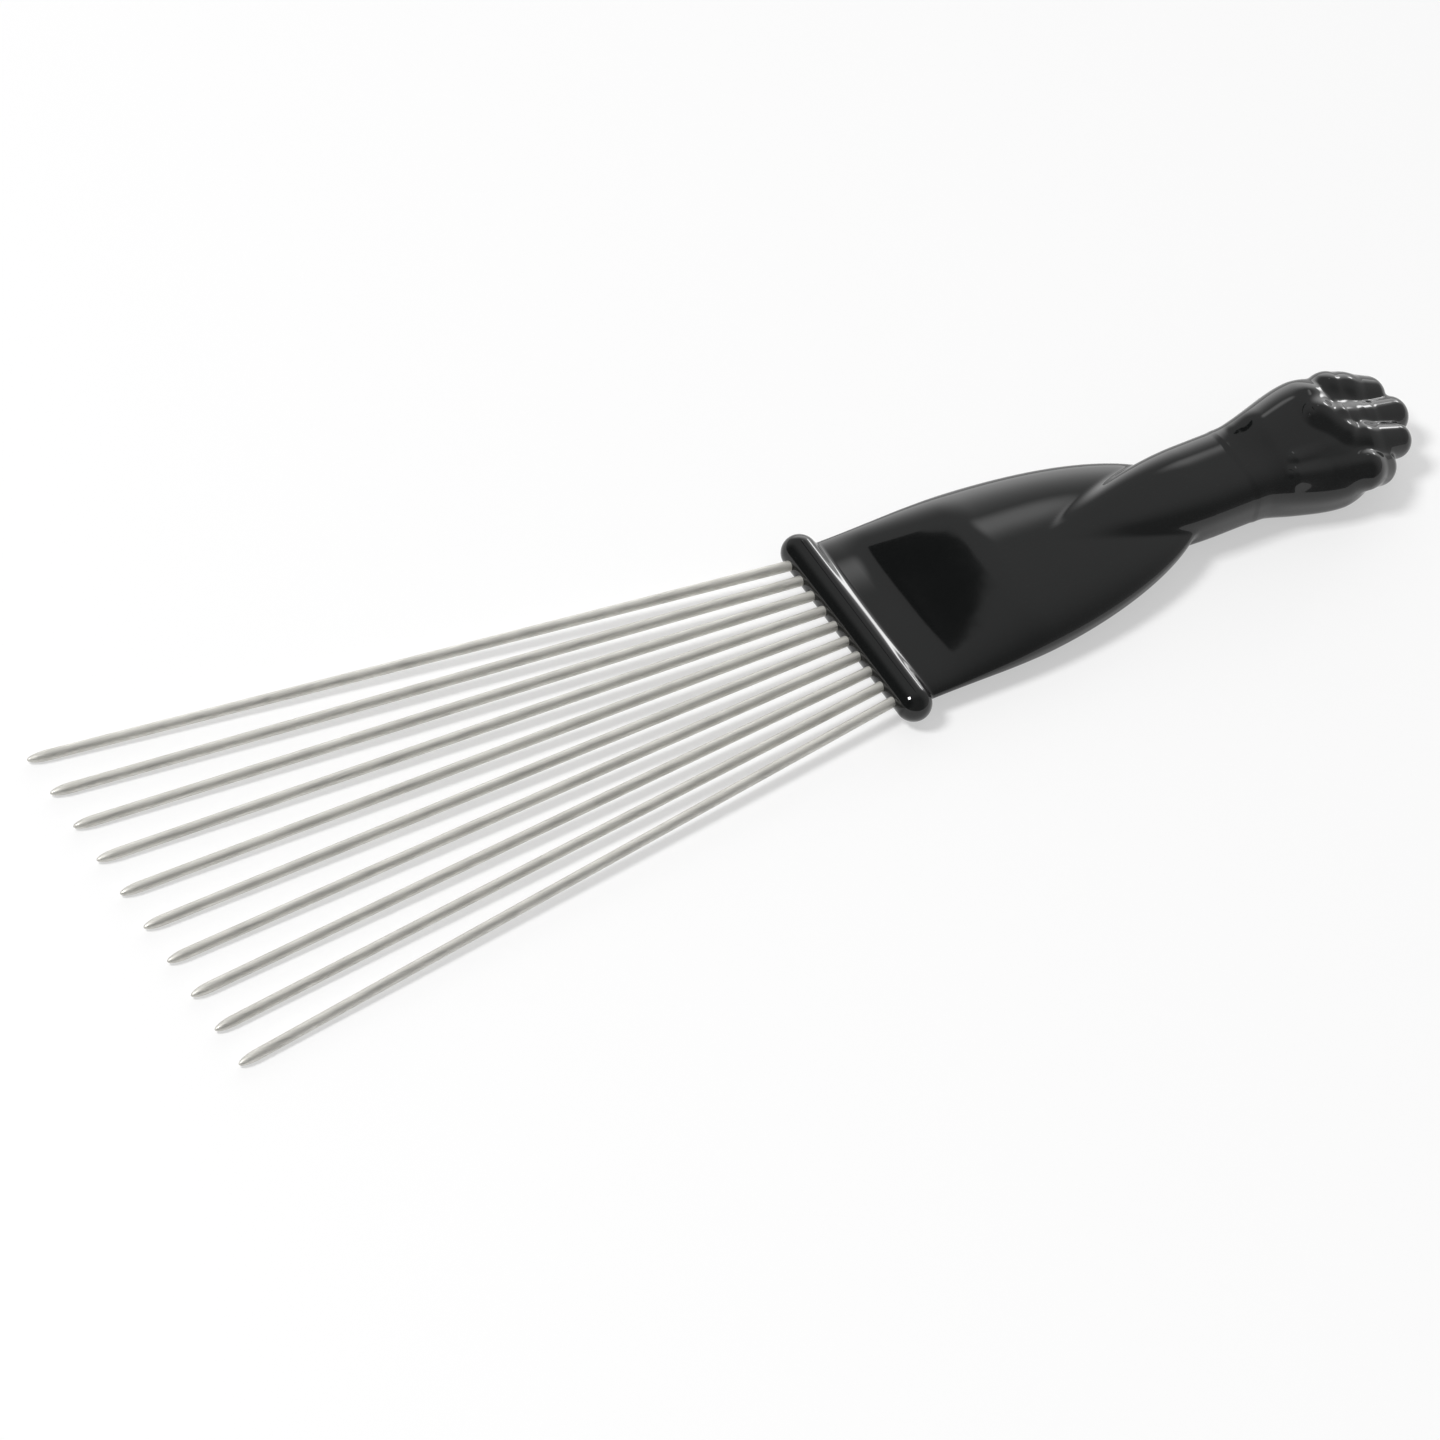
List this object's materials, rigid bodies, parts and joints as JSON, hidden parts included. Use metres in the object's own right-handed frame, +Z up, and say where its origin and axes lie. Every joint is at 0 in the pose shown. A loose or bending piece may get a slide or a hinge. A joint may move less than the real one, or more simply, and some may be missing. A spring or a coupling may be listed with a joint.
{
  "type": "afro pick",
  "caption": "Hair pick with a fan of straight wire tines in a round bar, and a black plastic handle that narrows to a wrist and a clenched fist.",
  "frame": {"origin": "middle of the axis of the round bar that the tines stand in, in the plane of the tines", "axes": "+X runs along the handle from the bar to the fist, and the tines point along -X; +Y runs across the comb towards the side of the thumb; +Z is up, out of the side with the closed palm"},
  "size_m": [0.2413, 0.0664, 0.0142],
  "materials": {
    "black_plastic": "glossy moulded",
    "plated_wire": "nickel plated, satin"
  },
  "bodies": {
    "root": {"handle": "black_plastic", "tine_01": "plated_wire", "tine_02": "plated_wire", "tine_03": "plated_wire", "tine_04": "plated_wire", "tine_05": "plated_wire", "tine_06": "plated_wire", "tine_07": "plated_wire", "tine_08": "plated_wire", "tine_09": "plated_wire", "tine_10": "plated_wire"}
  },
  "joints": []
}
